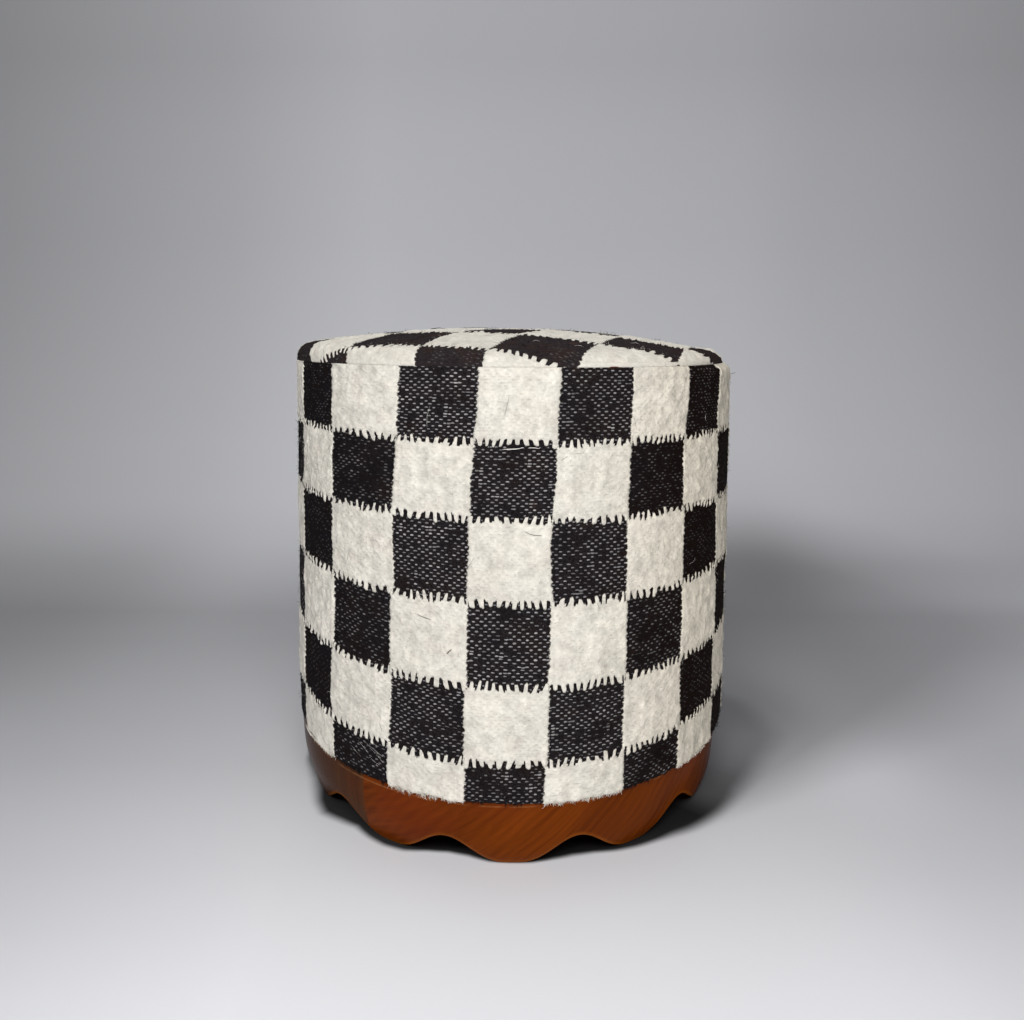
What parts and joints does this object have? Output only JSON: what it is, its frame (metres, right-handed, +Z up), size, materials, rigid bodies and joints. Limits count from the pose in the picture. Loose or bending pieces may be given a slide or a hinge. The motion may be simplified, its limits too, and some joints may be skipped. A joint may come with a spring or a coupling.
{
  "type": "upholstered drum stool",
  "caption": "Round upholstered stool: a padded drum in checked flat-woven wool, standing on a low wooden plinth with a scalloped lower edge; used as a seat, footrest or low side table.",
  "frame": {"origin": "on the floor, at the centre of the stool", "axes": "+Z up, along the axis of the drum; -Y towards the side seen in the picture; +X to the right of it"},
  "size_m": [0.406, 0.406, 0.4055],
  "materials": {
    "plinth_wood": "oiled and waxed hardwood, satin to glossy, orange brown",
    "plywood": "unfinished plywood",
    "softwood": "planed unfinished softwood",
    "hardboard": "smooth hardboard",
    "screw_steel": "yellow passivated",
    "staple_steel": "galvanised wire",
    "webbing": "woven jute",
    "hessian": "open plain weave",
    "foam": "cut polyurethane foam",
    "batting": "polyester wadding",
    "flatweave": "hand-woven wool, natural cream and dark brown-black squares",
    "dust_cloth": "black spunbond cloth"
  },
  "bodies": {
    "root": {"cover_side_panel": "flatweave", "cover_staples": "staple_steel", "cover_top_panel": "flatweave", "dust_cover": "dust_cloth", "dust_cover_staples": "staple_steel", "frame_bottom_ring": "plywood", "frame_hardboard_wall": "hardboard", "frame_post_1": "softwood", "frame_post_2": "softwood", "frame_post_3": "softwood", "frame_post_4": "softwood", "frame_post_5": "softwood", "frame_post_6": "softwood", "frame_screws_bottom": "screw_steel", "frame_screws_top": "screw_steel", "frame_top_ring": "plywood", "hessian_staples": "staple_steel", "plinth_screws": "screw_steel", "plinth_segment_back": "plinth_wood", "plinth_segment_front": "plinth_wood", "plinth_segment_left": "plinth_wood", "plinth_segment_right": "plinth_wood", "plinth_tongues": "plywood", "seat_foam": "foam", "seat_hessian": "hessian", "seat_webbing_crosswise_1": "webbing", "seat_webbing_crosswise_2": "webbing", "seat_webbing_crosswise_3": "webbing", "seat_webbing_lengthwise_1": "webbing", "seat_webbing_lengthwise_2": "webbing", "seat_webbing_lengthwise_3": "webbing", "side_batting": "batting", "side_foam": "foam", "top_batting": "batting", "wall_staples": "staple_steel", "webbing_staples": "staple_steel"}
  },
  "joints": []
}
